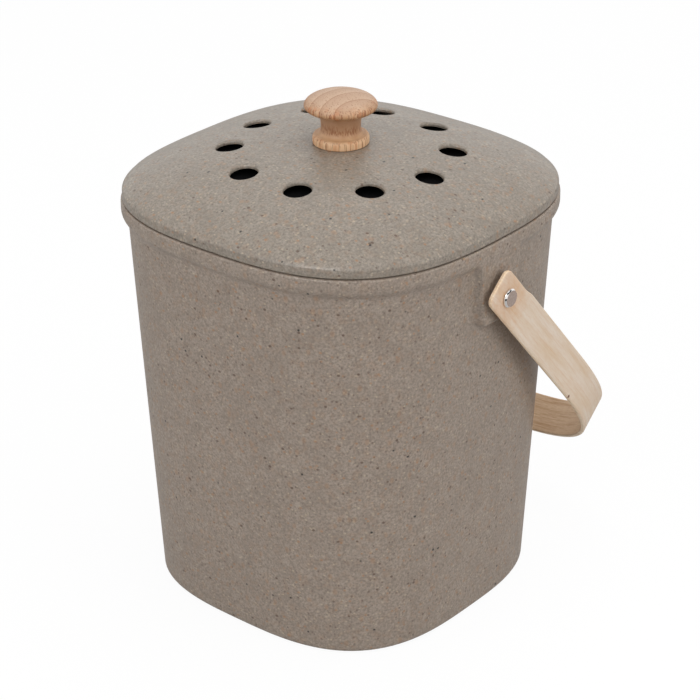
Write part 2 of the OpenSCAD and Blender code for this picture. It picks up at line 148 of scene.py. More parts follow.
def band_half(z):
    """Half width of the outside at height z, rim band included."""
    up, down = z - band_low, band_low + band_drop - z
    if up < 0:
        return wall_half(z)
    if up < down:
        return RIM_HALF - BAND_OVERHANG + band_radius - math.sqrt(band_radius ** 2 - up ** 2)
    return RIM_HALF - band_radius + math.sqrt(band_radius ** 2 - max(0.0, down) ** 2)


def reach(half, power, turn):
    """Distance from the axis to a rounded square's edge, in one direction."""
    c, s = abs(math.cos(turn)), abs(math.sin(turn))
    return half / (c ** power + s ** power) ** (1 / power)


def place_ring(verts, half, z, power):
    """Moves a ring of vertices onto a rounded square; each keeps its direction."""
    for v in verts:
        turn = math.atan2(v.co.y, v.co.x)
        r = reach(half, power, turn)
        v.co = (r * math.cos(turn), r * math.sin(turn), z)


def extrude_ring(bm, edges):
    """A second ring on the first one: its edges and its vertices."""
    grown = bmesh.ops.extrude_edge_only(bm, edges=edges)["geom"]
    verts = {g for g in grown if isinstance(g, bmesh.types.BMVert)}
    ring = [g for g in grown if isinstance(g, bmesh.types.BMEdge)
            and g.verts[0] in verts and g.verts[1] in verts]
    return ring, verts


def loft(bm, edges, sections):
    """Grows a shell from a ring, one (half width, height, power) after another."""
    for half, z, power in sections:
        edges, verts = extrude_ring(bm, edges)
        place_ring(verts, half, z, power)
    return edges


def arc(centre, radius, start, end, steps):
    """Points on an arc, angles in degrees, as (across, up)."""
    turns = [math.radians(start + (end - start) * i / steps) for i in range(steps + 1)]
    return [(centre[0] + radius * math.cos(t), centre[1] + radius * math.sin(t)) for t in turns]


def finish_mesh(bm, name, sharp=35):
    """Closes, orients and smooths a mesh, and makes it an object at the origin.
    Edges sharper than sharp, in degrees, stay crisp."""
    bmesh.ops.remove_doubles(bm, verts=bm.verts, dist=SAME_PLACE)
    bmesh.ops.recalc_face_normals(bm, faces=bm.faces)
    mesh = bpy.data.meshes.new(name)
    bm.to_mesh(mesh)
    bm.free()
    mesh.polygons.foreach_set("use_smooth", [True] * len(mesh.polygons))
    mesh.set_sharp_from_angle(angle=math.radians(sharp))
    piece = bpy.data.objects.new(name, mesh)
    bpy.context.collection.objects.link(piece)
    return piece


bm = bmesh.new()
bmesh.ops.create_circle(bm, cap_ends=True, segments=BODY_SEGMENTS, radius=DISC_RADIUS)
foot = [(DISC_RADIUS, RECESS_DEPTH, 2), (RECESS_RADIUS, RECESS_DEPTH, 2), (RECESS_RADIUS, 0, 2)]
foot.append((wall_half(0) - 2 * BASE_EDGE, 0, BASE_POWER))
foot += [(wall_half(z) - BASE_EDGE + x, z, bucket_power(z))
         for x, z in arc((0, BASE_EDGE), BASE_EDGE, -90, 0, ROUND_STEPS)]
wall = [(wall_half(z), z, bucket_power(z)) for z in
        (BASE_EDGE + (band_low - BASE_EDGE) * i / WALL_ROWS for i in range(1, WALL_ROWS + 1))]
band = [(band_half(z), z, bucket_power(z)) for z in
        (band_low + band_drop * i / BAND_ROWS for i in range(1, BAND_ROWS + 1))]
rim = [(RIM_HALF - RIM_ROUND + x, z, RIM_POWER)
       for x, z in arc((0, RIM_Z - RIM_ROUND), RIM_ROUND, 0, 90, RIM_STEPS)]
mouth_half = wall_half(RIM_Z) - WALL
rim += [(mouth_half + RIM_ROUND + x, z, RIM_POWER)
        for x, z in arc((0, RIM_Z - RIM_ROUND), RIM_ROUND, 90, 180, RIM_STEPS)]
inner_low = FLOOR + INSIDE_ROUND
inner_high = RIM_Z - RIM_ROUND
inside = [(wall_half(z) - WALL, z, bucket_power(z)) for z in
          (inner_high + (inner_low - RIM_Z + RIM_ROUND) * i / INSIDE_ROWS
           for i in range(1, INSIDE_ROWS + 1))]
inside += [(wall_half(inner_low) - WALL - INSIDE_ROUND + x, z, BASE_POWER)
           for x, z in arc((0, inner_low), INSIDE_ROUND, 0, -90, ROUND_STEPS)[1:]]
last_ring = loft(bm, bm.edges[:], foot + wall + band + rim + inside)
bmesh.ops.contextual_create(bm, geom=last_ring)


# The two pads: the wall there is divided finely and drawn out to the pad's face
def on_outer_wall(v):
    """Whether a vertex is on the outside of the wall, at or round a pad."""
    return (abs(v.co.x) > wall_half(v.co.z) - OUTSIDE_DEPTH and abs(v.co.y) < PAD_AREA_HALF
            and PAD_AREA_LOW < v.co.z < PAD_AREA_TOP)


def pad_depth(y, z):
    """How far a point lies inside the pad's outline, negative outside it."""
    share = (z - PAD_LOW) / (PAD_TOP - PAD_LOW)
    side = PAD_HALF + (PAD_TOP_HALF - PAD_HALF) * share - abs(y)
    low = z - PAD_LOW
    if side < PAD_ROUND and low < PAD_ROUND:
        return PAD_ROUND - math.hypot(PAD_ROUND - side, PAD_ROUND - low)
    return min(side, low)


def refine(bm, chosen, cuts):
    """Divides finely the faces whose vertices all satisfy a test."""
    faces = [f for f in bm.faces if all(chosen(v) for v in f.verts)]
    bmesh.ops.subdivide_edges(bm, edges=list({e for f in faces for e in f.edges}), cuts=cuts,
                              use_grid_fill=True)


def beside(half, power, y):
    """Distance of a rounded square's side from the plane x = 0, at y."""
    return half * (1 - (abs(y) / half) ** power) ** (1 / power)


def eased(depth, softness):
    """0 outside an outline, 1 inside it, with a smooth step of twice softness."""
    share = min(1, max(0, 0.5 + depth / (2 * softness)))
    return share * share * (3 - 2 * share)


refine(bm, on_outer_wall, PAD_CUTS)
for v in bm.verts:
    if on_outer_wall(v):
        surface = beside(band_half(v.co.z), bucket_power(v.co.z), v.co.y)
        drawn = max(0, PAD_FACE - surface) * eased(pad_depth(v.co.y, v.co.z), PAD_SOFTNESS)
        v.co.x = math.copysign(surface + drawn, v.co.x)


# The two round bosses inside, drawn out of the inner wall in the same way
def on_inner_wall(v):
    """Whether a vertex is on the inside of the wall, at or round a boss."""
    depth = wall_half(v.co.z) - abs(v.co.x)
    return (0.5 * WALL < depth < WALL + INSIDE_DEPTH and abs(v.co.y) < BOSS_AREA_HALF
            and abs(v.co.z - PIVOT_Z) < BOSS_AREA_HALF)


refine(bm, on_inner_wall, BOSS_CUTS)
boss_face = wall_half(PIVOT_Z) - WALL - BOSS_HEIGHT
for v in bm.verts:
    if on_inner_wall(v):
        surface = beside(wall_half(v.co.z) - WALL, bucket_power(v.co.z), v.co.y)
        depth = BOSS_RADIUS - math.hypot(v.co.y, v.co.z - PIVOT_Z)
        drawn = min(0, boss_face - surface) * eased(depth, BOSS_SOFTNESS)
        v.co.x = math.copysign(surface + drawn, v.co.x)
bucket = finish_mesh(bm, "bucket_shell")
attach(bucket, "bin")
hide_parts("bin_body")


# The moulded fibre: a warm grey mix with pale and orange-brown plant fibres and
# a few dark specks, satin from the mould
def wire(tree, node, inputs):
    """Gives each input its value, or the output of another node that feeds it."""
    for key, value in inputs.items():
        if isinstance(value, bpy.types.NodeSocket):
            tree.links.new(value, node.inputs[key])
        else:
            node.inputs[key].default_value = value


def add(tree, kind, inputs=(), **settings):
    """A new shader node with its settings and its inputs."""
    node = tree.nodes.new("ShaderNode" + kind)
    for key, value in settings.items():
        setattr(node, key, value)
    wire(tree, node, dict(inputs))
    return node


def new_material(name):
    """A material with nodes: itself, its tree and its surface shader."""
    material = bpy.data.materials.new(name)
    material.use_nodes = True
    tree = material.node_tree
    return material, tree, tree.nodes["Principled BSDF"]


def object_place(tree):
    """Where each point of the piece is, in metres."""
    return add(tree, "TexCoord").outputs["Object"]


def srgb(red, green, blue):
    """A colour given in 0 to 255 as linear values."""
    parts = [c / 255 for c in (red, green, blue)]
    return tuple(c / 12.92 if c <= 0.04045 else ((c + 0.055) / 1.055) ** 2.4 for c in parts) + (1,)


def mix_colour(tree, share, first, second):
    """The first colour, with a share of the second over it."""
    return add(tree, "Mix", {"Factor": share, 6: first, 7: second}, data_type="RGBA").outputs[2]


def between(tree, value, start, end, low=0, high=1):
    """start where the value is low, end where it is high, and evenly between."""
    return add(tree, "MapRange", {"Value": value, "From Min": low, "From Max": high,
                                  "To Min": start, "To Max": end}).outputs["Result"]


def ramp(tree, value, low, high, top=1):
    """0 where the value is low, rising to top where it is high."""
    return between(tree, value, 0, top, low, high)


def calc(tree, operation, *values):
    """The result of one sum."""
    return add(tree, "Math", dict(enumerate(values)), operation=operation).outputs[0]


def product(tree, *shares):
    """Several shares multiplied together."""
    made = shares[0]
    for share in shares[1:]:
        made = calc(tree, "MULTIPLY", made, share)
    return made


def noise(tree, place, scale, detail=3, rough=0.5):
    """Clouds, scale of them to a metre."""
    return add(tree, "TexNoise", {"Vector": place, "Scale": scale, "Detail": detail,
                                  "Roughness": rough}).outputs["Fac"]


def raised(tree, height, strength, depth):
    """The surface's direction, tilted as a height up to depth would tilt it."""
    return add(tree, "Bump", {"Height": height, "Strength": strength,
                              "Distance": depth}).outputs["Normal"]


def flecks(tree, place, scale, radius, kept, stretch, turn, top):
    """Scattered flecks: the share of one at each place. scale is in cells to a
    metre, and kept is the share of the cells that hold a fleck."""
    mapping = add(tree, "Mapping", {"Vector": place, "Scale": stretch, "Rotation": turn})
    cells = add(tree, "TexVoronoi", {"Vector": mapping.outputs["Vector"], "Scale": scale,
                                     "Randomness": 1})
    near = ramp(tree, cells.outputs["Distance"], radius * scale, radius * scale * FLECK_CORE, top)
    parts = add(tree, "SeparateColor", {"Color": cells.outputs["Color"]})
    return product(tree, near, calc(tree, "LESS_THAN", parts.outputs["Red"], kept))


FLECK_CORE = 0.55
FIBRE_CREAM = srgb(192, 175, 150)
FIBRE_TAN = srgb(160, 116, 76)
FIBRE_BROWN = srgb(84, 60, 46)
FIBRE_BLACK = srgb(30, 26, 26)
# Tint, cells to a metre, radius, share of cells filled, stretch, turn, strength
FIBRE_LAYERS = (
    (FIBRE_CREAM, 430, 0.70 * MM, 0.26, (1, 0.7, 1), (0.3, 0.9, 0.2), 0.34),
    (FIBRE_CREAM, 620, 0.52 * MM, 0.16, (0.7, 1, 1), (0.8, 0.1, 0.7), 0.5),
    (FIBRE_TAN, 230, 1.40 * MM, 0.30, (1, 1, 0.7), (0.5, 0.4, 1.1), 0.28),
    (FIBRE_TAN, 420, 0.72 * MM, 0.20, (0.7, 1, 1), (1.0, 0.7, 0.3), 0.60),
    (FIBRE_BROWN, 480, 0.62 * MM, 0.26, (1, 1, 0.8), (0.2, 0.6, 0.9), 0.50),
    (FIBRE_BROWN, 300, 0.80 * MM, 0.14, (0.8, 1, 1), (0.6, 0.2, 0.5), 0.80),
    (FIBRE_BLACK, 210, 0.72 * MM, 0.10, (1, 0.8, 1), (0.9, 0.2, 0.4), 0.95),
)


def fibre_material(name, light, dark, smooth, rough):
    """The moulded mix between two tones, smooth to rough from place to place."""
    material, tree, shader = new_material(name)
    place = object_place(tree)
    # Fine grain, darker clouds and tan blotches, then the flecks
    colour = light
    for clouds, low, high, top, tint in (
        (noise(tree, place, 900, 3, 0.65), 0.36, 0.64, 1, dark),
        (noise(tree, place, 90, 4, 0.65), 0.4, 0.7, 0.45, dark),
        (noise(tree, place, 300), 0.5, 0.72, 0.16, FIBRE_TAN),
    ):
        colour = mix_colour(tree, ramp(tree, clouds, low, high, top), colour, tint)
    for tint, *layer in FIBRE_LAYERS:
        colour = mix_colour(tree, flecks(tree, place, *layer), colour, tint)
    wire(tree, shader, {
        "Base Color": colour,
        "Roughness": between(tree, noise(tree, place, 240, 2), smooth, rough, 0.2, 0.8),
        "Specular IOR Level": 0.65,
        "Normal": raised(tree, noise(tree, place, 900, 3, 0.6), 0.2, 0.1 * MM),
    })
    return material


moulded_fibre = fibre_material("moulded_fibre", srgb(163, 149, 136), srgb(128, 115, 103),
                               0.4, 0.52)
bucket.data.materials.append(moulded_fibre)

# ---------------------------------------------------------------------------
# Lid. A domed moulding in the same fibre, with an upright edge, ten air holes,
# a flat seat for the knob, a skirt that drops into the bucket and a ring under
# the dome that holds the filter.
LID_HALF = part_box("lid")[1][0]
SEAM_GAP = 0.3 * MM
LID_Z = RIM_Z + SEAM_GAP
EDGE_HEIGHT = 5.1 * MM
EDGE_Z = LID_Z + EDGE_HEIGHT
EDGE_STEP = 0.35 * MM
EDGE_ROUND = 1.7 * MM
SEAM_ROUND = 0.65 * MM
DOME_RISE = 18.4 * MM
DOME_WALL = 1.8 * MM
DOME_EVEN = 0.6
DOME_LATE_POWER = 5.25
CROWN_POWER = 2.7
SEAT_RADIUS = 13.5 * MM
SEAT_RINGS = (35 * MM, 29 * MM, 23 * MM, 18 * MM)
SCREW_HOLE = 2.25 * MM
VENTS = 10
VENT_RADIUS = 6.5 * MM
VENT_ROUND = 1.2 * MM
VENT_CIRCLE = 51.7 * MM
VENT_BAND = 11.0 * MM
VENT_SIDE = 16
VENT_RINGS = (0.72, 0.66, 0.6, 0.5, 0.4, 0)
SHOULDER_ROWS = 12
SKIRT_Z = RIM_Z - 9.0 * MM
SKIRT_GAP = 0.6 * MM
SKIRT_WALL = 2.4 * MM
SKIRT_EDGE = 1.0 * MM
SKIRT_HALF = wall_half(SKIRT_Z) - WALL - SKIRT_GAP
SKIRT_INNER = SKIRT_HALF - SKIRT_WALL
UNDER_SEAT = 10.0 * MM
UNDER_STEP = 0.2 * MM
SEAT_EXTRA = 0.5 * MM
HOLDER_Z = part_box("filter_cover")[1][2] - 4.2 * MM
HOLDER_RADII = (61.0 * MM, 63.2 * MM)
HOLDER_STEPS = 120
HOLDER_EDGE = 0.4 * MM
LEDGE_RADII = (58.6 * MM, 62.1 * MM)
LEDGE_THICKNESS = 1.5 * MM
LEDGE_EDGE = 0.3 * MM
LEDGE_ANGLE = math.radians(40)
LEDGE_STEPS = 14
LEDGES = 3
NEAR = 0.1 * MM


def dome_z(x, y):
    """Height of the dome's top over a place in plan. It falls evenly at first and
    steeply at the edge, and it turns from squarish to round towards the knob."""
    share = math.hypot(x, y) / LID_HALF
    for _ in range(3):  # how square it is depends on the share, and settles in three rounds
        power = CROWN_POWER + (RIM_POWER - CROWN_POWER) * share ** 2
        share = ((abs(x) / LID_HALF) ** power + (abs(y) / LID_HALF) ** power) ** (1 / power)
    share = max(share, SEAT_RADIUS / LID_HALF)
    fall = DOME_EVEN * share ** 2 + (1 - DOME_EVEN) * share ** DOME_LATE_POWER
    return EDGE_Z + DOME_RISE * (1 - fall)


def shrink_ring(bm, edges, centre, radius, shrinks):
    """Draws a loop in towards a circle round centre, one ring for each share of
    the distance that is left; the last share is 0."""
    for share in shrinks:
        edges, verts = extrude_ring(bm, edges)
        for v in verts:
            spoke = v.co - centre
            v.co = centre + spoke.normalized() * (radius + (spoke.length - radius) * share)
    return edges


def open_edges(bm, inside):
    """Edges with one face whose two ends both satisfy a test on their place."""
    return [e for e in bm.edges if len(e.link_faces) == 1 and all(inside(v.co) for v in e.verts)]


def vented_sheet(vent_radius, outer_half, seat_steps=()):
    """The dome's plan as one flat sheet of four-sided faces that run round each
    air hole, from the screw hole out to a rounded square; seat_steps are more
    rings inside the seat."""
    bm = bmesh.new()
    bmesh.ops.create_grid(bm, x_segments=VENT_SIDE, y_segments=VENT_SIDE, size=1)
    bmesh.ops.delete(bm, geom=bm.faces[:], context="FACES_ONLY")
    loose = [v for v in bm.verts if abs(v.co.x) < 0.999 and abs(v.co.y) < 0.999]
    bmesh.ops.delete(bm, geom=loose, context="VERTS")
    for v in bm.verts:
        turn = v.co.x * math.pi / VENTS
        r = VENT_CIRCLE + v.co.y * VENT_BAND
        v.co = (r * math.cos(turn), r * math.sin(turn), 0)
    shrink_ring(bm, bm.edges[:], Vector((VENT_CIRCLE, 0, 0)), vent_radius, VENT_RINGS)
    sector = bm.verts[:] + bm.edges[:] + bm.faces[:]
    for i in range(1, VENTS):
        copy = bmesh.ops.duplicate(bm, geom=sector)["geom"]
        bmesh.ops.rotate(bm, verts=[g for g in copy if isinstance(g, bmesh.types.BMVert)],
                         cent=(0, 0, 0), matrix=Matrix.Rotation(2 * math.pi * i / VENTS, 3, "Z"))
    bmesh.ops.remove_doubles(bm, verts=bm.verts, dist=NEAR / 10)
    outer = open_edges(bm, lambda p: p.length > VENT_CIRCLE + VENT_BAND - NEAR)
    inner = open_edges(bm, lambda p: p.length < VENT_CIRCLE - VENT_BAND + NEAR)
    for i in range(1, SHOULDER_ROWS + 1):
        outer, verts = extrude_ring(bm, outer)
        for v in verts:
            turn = math.atan2(v.co.y, v.co.x)
            start, end = VENT_CIRCLE + VENT_BAND, reach(outer_half, RIM_POWER, turn)
            r = start + (end - start) * i / SHOULDER_ROWS
            v.co = (r * math.cos(turn), r * math.sin(turn), 0)
    for r in (*SEAT_RINGS, SEAT_RADIUS, *seat_steps, SCREW_HOLE):
        inner, verts = extrude_ring(bm, inner)
        for v in verts:
            v.co = v.co.normalized() * r
    return bm


bm = vented_sheet(VENT_RADIUS + VENT_ROUND, LID_HALF - EDGE_ROUND)
for v in bm.verts:
    v.co.z = dome_z(v.co.x, v.co.y)


def is_vent(p):
    """Whether a place is in the band that holds the air holes."""
    spread = math.hypot(p.x, p.y)
    return VENT_CIRCLE - VENT_BAND < spread < VENT_CIRCLE + VENT_BAND


# Rounded mouth of each air hole, then its wall down to the dome's underside
vent_edges = open_edges(bm, is_vent)
profile = arc((0, 0), VENT_ROUND, 90, 180, 4)[1:] + [(-VENT_ROUND, -DOME_WALL + VENT_ROUND)]
for across, up in profile:
    vent_edges, verts = extrude_ring(bm, vent_edges)
    for v in verts:
        turn = round(math.atan2(v.co.y, v.co.x) / (2 * math.pi / VENTS)) * 2 * math.pi / VENTS
        centre = Vector((VENT_CIRCLE * math.cos(turn), VENT_CIRCLE * math.sin(turn), 0))
        spoke = Vector((v.co.x, v.co.y, 0)) - centre
        spot = centre + spoke.normalized() * (VENT_RADIUS + VENT_ROUND + across)
        v.co = (spot.x, spot.y, dome_z(spot.x, spot.y) - VENT_ROUND + up)

# Shoulder, upright edge, seam and skirt
shoulder_z = EDGE_Z - EDGE_STEP - EDGE_ROUND * 0.6
sections = [(LID_HALF - EDGE_ROUND + x, z, RIM_POWER)
            for x, z in arc((0, shoulder_z), EDGE_ROUND, 45, 0, 4)]
sections += [(half, z, RIM_POWER) for half, z in (
    (LID_HALF, LID_Z + SEAM_ROUND), (LID_HALF - SEAM_ROUND, LID_Z), (SKIRT_HALF, LID_Z),
    (SKIRT_HALF, SKIRT_Z + SKIRT_EDGE), (SKIRT_HALF - SKIRT_EDGE, SKIRT_Z),
    (SKIRT_INNER, SKIRT_Z),
)]
outer = open_edges(bm, lambda p: math.hypot(p.x, p.y) > VENT_CIRCLE + VENT_BAND)
outer = loft(bm, outer, sections)
outer, verts = extrude_ring(bm, outer)
for v in verts:
    v.co.z = dome_z(v.co.x, v.co.y) - DOME_WALL

# Underside of the dome, joined on at the skirt, at the holes and at the screw hole,
# with a thicker flat place where the knob's washer bears on it
under = vented_sheet(VENT_RADIUS, SKIRT_INNER, (UNDER_SEAT, UNDER_SEAT - UNDER_STEP))
for v in under.verts:
    extra = SEAT_EXTRA if math.hypot(v.co.x, v.co.y) < UNDER_SEAT - UNDER_STEP / 2 else 0
    v.co.z = dome_z(v.co.x, v.co.y) - DOME_WALL - extra
screw_wall = open_edges(bm, lambda p: math.hypot(p.x, p.y) < 2 * SCREW_HOLE)
screw_wall, verts = extrude_ring(bm, screw_wall)
for v in verts:
    v.co.z -= DOME_WALL + SEAT_EXTRA
under_mesh = bpy.data.meshes.new("under")
under.to_mesh(under_mesh)
under.free()
bm.from_mesh(under_mesh)
bpy.data.meshes.remove(under_mesh)


def swept(bm, outline, start, angle, steps):
    """Sweeps a closed outline, given as (radius, height), about the Z axis, the
    whole way round or with its two ends closed."""
    verts = [bm.verts.new((r * math.cos(start), r * math.sin(start), z)) for r, z in outline]
    edges = [bm.edges.new(pair) for pair in zip(verts, verts[1:] + verts[:1])]
    whole = angle == 2 * math.pi
    faces = [] if whole else bmesh.ops.contextual_create(bm, geom=edges)["faces"]
    bmesh.ops.spin(bm, geom=verts + edges + faces, cent=(0, 0, 0), axis=(0, 0, 1), angle=angle,
                   steps=steps, use_merge=whole)


# Ring under the dome that holds the filter, and its three ledges
def block(radii, low, high, edge):
    """Outline of a ring's section whose lower corners are cut by edge."""
    inner, outer = radii
    return [(inner, high), (inner, low + edge), (inner + edge, low), (outer - edge, low),
            (outer, low + edge), (outer, high)]


holder_top = dome_z(HOLDER_RADII[1], 0) - 0.3 * DOME_WALL  # within the dome's wall
swept(bm, block(HOLDER_RADII, HOLDER_Z, holder_top, HOLDER_EDGE), 0, 2 * math.pi, HOLDER_STEPS)
for i in range(LEDGES):
    swept(bm, block(LEDGE_RADII, HOLDER_Z, HOLDER_Z + LEDGE_THICKNESS, LEDGE_EDGE),
          2 * math.pi * i / LEDGES - LEDGE_ANGLE / 2, LEDGE_ANGLE, LEDGE_STEPS)
lid = finish_mesh(bm, "lid_shell", sharp=40)
# The lid has its own copy of the fibre, greyer and a little darker than the bucket's: a painted
# sheen for the white the top reflects, and painted shade against the stronger light from above
lid.data.materials.append(fibre_material("lid_fibre_painted_sheen", srgb(155, 145, 133), srgb(121, 112, 101),
                                         0.32, 0.44))
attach(lid, "lid")
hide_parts("lid")

# ---------------------------------------------------------------------------
# Knob. Turned from one piece of pale beech with its grain running up it, sanded
# and left unvarnished; a screw from under the lid holds it.
KNOB_Z = dome_z(0, 0)
KNOB_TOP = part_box("lid_knob")[1][2]
KNOB_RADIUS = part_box("lid_knob")[1][0]
KNOB_CROWN = 6.3 * MM
KNOB_UNDERSIDE = 4.6 * MM
KNOB_FOOT = 13.2 * MM
FOOT_THICKNESS = 4.5 * MM
KNOB_NECK = 9.2 * MM
NECK_HEIGHT = 7.5 * MM
KNOB_FLARE = 0.66 * KNOB_RADIUS
FOOT_EDGE = 0.8 * MM
FOOT_ROUND = 0.4 * FOOT_THICKNESS
KNOB_BORE = 2.25 * MM
BORE_DEPTH = 14.0 * MM
KNOB_STEPS = 96
WOOD_PALE = srgb(203, 164, 127)
WOOD_MAIN = srgb(181, 136, 95)
WOOD_RING = srgb(152, 106, 74)
WOOD_STREAK = srgb(134, 78, 44)
# The next three tones are painted light and shade: painted shade for the neck under the head, a
# painted sheen for the crown and a painted lighter foot rim
WOOD_NECK_PAINTED_SHADE = srgb(148, 110, 86)
WOOD_CROWN_PAINTED_SHEEN = srgb(202, 180, 162)
WOOD_FOOT_PAINTED_LIGHT = srgb(228, 190, 150)
WOOD_ORANGE = srgb(190, 112, 58)
PITH = (43 * MM, -12 * MM)
RING_SPACING = 7.0 * MM

# Half outline from the bore round the foot, up the hollow neck and over the head
widest = KNOB_TOP - KNOB_Z - KNOB_CROWN
flare_z = widest - KNOB_UNDERSIDE * math.sqrt(1 - (KNOB_FLARE / KNOB_RADIUS) ** 2)
shoulder = KNOB_FOOT - FOOT_ROUND
outline = [(0, BORE_DEPTH), (KNOB_BORE, BORE_DEPTH), (KNOB_BORE, 0)]
outline += arc((KNOB_FOOT - FOOT_EDGE, FOOT_EDGE), FOOT_EDGE, -90, 0, 5)
outline += arc((shoulder, FOOT_THICKNESS - FOOT_ROUND), FOOT_ROUND, 0, 90, 8)
quarter = [math.radians(9 * i) for i in range(1, 11)]
outline += [(shoulder - (shoulder - KNOB_NECK) * math.sin(t),
             FOOT_THICKNESS + (NECK_HEIGHT - FOOT_THICKNESS) * (1 - math.cos(t)))
            for t in quarter]
outline += [(KNOB_NECK + (KNOB_FLARE - KNOB_NECK) * (1 - math.cos(t)),
             NECK_HEIGHT + (flare_z - NECK_HEIGHT) * math.sin(t)) for t in quarter]
for i in range(1, 13):
    x = KNOB_FLARE + (KNOB_RADIUS - KNOB_FLARE) * (1 - (1 - i / 12) ** 2)
    outline.append((x, widest - KNOB_UNDERSIDE * math.sqrt(max(0, 1 - (x / KNOB_RADIUS) ** 2))))
outline += [(KNOB_RADIUS * math.cos(math.radians(5 * i)),
             widest + KNOB_CROWN * math.sin(math.radians(5 * i))) for i in range(1, 19)]


def turned(bm, points, centre, axis, across, steps):
    """Turns a half outline, given as (radius, way along the axis), about an axis."""
    verts = [bm.verts.new(centre + across * x + axis * z) for x, z in points]
    edges = [bm.edges.new(pair) for pair in zip(verts, verts[1:])]
    bmesh.ops.spin(bm, geom=verts + edges, cent=centre, axis=axis, angle=2 * math.pi,
                   steps=steps, use_merge=True)


bm = bmesh.new()
turned(bm, outline, Vector((0, 0, KNOB_Z)), Vector((0, 0, 1)), Vector((1, 0, 0)), KNOB_STEPS)
knob = finish_mesh(bm, "knob_turned", sharp=50)
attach(knob, "lid")
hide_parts("lid_knob")

material, tree, shader = new_material("knob_wood")
place = object_place(tree)


def grain(tree, place, stretch, scale, detail=3, rough=0.5):
    """Clouds drawn out by a different amount in each direction."""
    mapping = add(tree, "Mapping", {"Vector": place, "Scale": stretch})
    return noise(tree, mapping.outputs["Vector"], scale, detail, rough)


def measure(tree, operation, *vectors):
    """One number that vectors give: a length, a distance or a dot product."""
    return add(tree, "VectorMath", dict(enumerate(vectors)), operation=operation).outputs["Value"]


# Growth rings round a pith well outside the knob, and fibres that run up it: they
# show as lines and pores on the crown and as upright streaks on the two rims
pith = add(tree, "Mapping", {"Vector": place, "Location": (-PITH[0], -PITH[1], 0),
                             "Scale": (1, 1, 0.1)})
rings = add(tree, "TexWave", {"Vector": pith.outputs["Vector"], "Distortion": 0.7, "Detail": 2,
                              "Detail Scale": 1.5, "Scale": 2 * math.pi / (20 * RING_SPACING)},
            wave_type="RINGS", rings_direction="Z", wave_profile="SAW").outputs["Fac"]
parts = add(tree, "SeparateXYZ", {"Vector": place})
level = add(tree, "CombineXYZ", {"X": parts.outputs["X"], "Y": parts.outputs["Y"]})
spread = measure(tree, "LENGTH", level.outputs["Vector"])


def by_height(start, end, top=1):
    """0 at the height start above the lid, rising to top at the height end."""
    return ramp(tree, parts.outputs["Z"], KNOB_Z + start, KNOB_Z + end, top)


def streaks(scale, low, high, top):
    """Upright streaks, scale of them to a metre across."""
    return ramp(tree, grain(tree, place, (1, 1, 0.06), scale, 2), low, high, top)


head = by_height(13 * MM, 15 * MM)
# Where the neck gets painted shade from the overhanging head
neck_shade = product(tree, by_height(5 * MM, 9 * MM, 0.5), by_height(15 * MM, 13 * MM))
rims = product(tree, ramp(tree, spread, 11.5 * MM, 12.8 * MM), by_height(22 * MM, 19 * MM))
# Open pores show where the fibres are cut across: on the head and the foot's shoulder
pores = product(tree, ramp(tree, grain(tree, place, (1, 1, 0.05), 1300, 2, 0.6), 0.58, 0.68, 0.7),
                head)
shoulder_pores = product(
    tree, ramp(tree, grain(tree, place, (1, 1, 0.3), 1400, 2, 0.6), 0.44, 0.6, 0.7),
    by_height(5.4 * MM, 6.8 * MM), by_height(12 * MM, 8.5 * MM))
colour = WOOD_PALE
for share, tint in (
    (ramp(tree, grain(tree, place, (1, 1, 0.15), 150), 0.35, 0.68), WOOD_MAIN),
    # Painted light and shade: the foot's rim is painted paler where light reaches it, the crown
    # paler with a painted sheen, and the neck darker with painted shade under the head
    (by_height(5 * MM, 3 * MM, 0.8), WOOD_FOOT_PAINTED_LIGHT),
    (by_height(18 * MM, 22 * MM, 0.55), WOOD_CROWN_PAINTED_SHEEN),
    (neck_shade, WOOD_NECK_PAINTED_SHADE),
    (product(tree, ramp(tree, rings, 0.1, 1, 0.34), head), WOOD_RING),
    (product(tree, ramp(tree, rings, 0.9, 0.98, 0.5), head), WOOD_RING),
    (product(tree, streaks(520, 0.50, 0.64, 0.55), rims), WOOD_ORANGE),
    (product(tree, streaks(1350, 0.53, 0.63, 0.72), rims), WOOD_STREAK),
    (pores, WOOD_STREAK),
    (shoulder_pores, WOOD_STREAK),
):
    colour = mix_colour(tree, share, colour, tint)
wire(tree, shader, {"Base Color": colour, "Roughness": 0.52, "Specular IOR Level": 0.5,
                    "Normal": raised(tree, pores, 0.25, 0.08 * MM)})
knob.data.materials.append(material)

# ---------------------------------------------------------------------------
# Bail. One strip of pale bamboo, steamed and bent into a rounded-square bow,
# with slimmer rounded ends that are drilled for the pivot posts.
STRIP_THICKNESS = 2.2 * MM
STRIP_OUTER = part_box("handle_strap")[1][0]
STRIP_LEG = 72.5 * MM
KNOB_CLEARANCE = 92.8 * MM
STRIP_REACH = KNOB_TOP + KNOB_CLEARANCE + STRIP_THICKNESS - PIVOT_Z
STRIP_TIP = 11.3 * MM
TIP_ROUND = 4.0 * MM
NECK_HALF = 9.55 * MM
WIDE_EDGE = 10.45 * MM
TRIM_START = 10.0 * MM
TRIM_SLOPE = 7.0 * MM
TRIM_ROWS = (0, 0.2, 0.5, 0.8, 1)
BOW_START = STRIP_LEG - 6.0 * MM
LEG_ROWS = 14
BOW_ROWS = 70
COURSE_STEPS = 240
BOW_POWER = 2.8
REST_ANGLE = math.radians(48.4)
POST_HOLE = 2.7 * MM
STRIP_ROUND = 0.75 * MM
END_SEGMENTS = 64
END_RINGS = (0.8, 0.6, 0.4, 0.2, 0)
BAMBOO_STAIN = srgb(206, 150, 98)
BAMBOO_KNOT = srgb(104, 56, 34)
KNOT_PLACE = (87.2 * MM, -8.6 * MM, 0)
STAIN_WANDER = 26.0 * MM

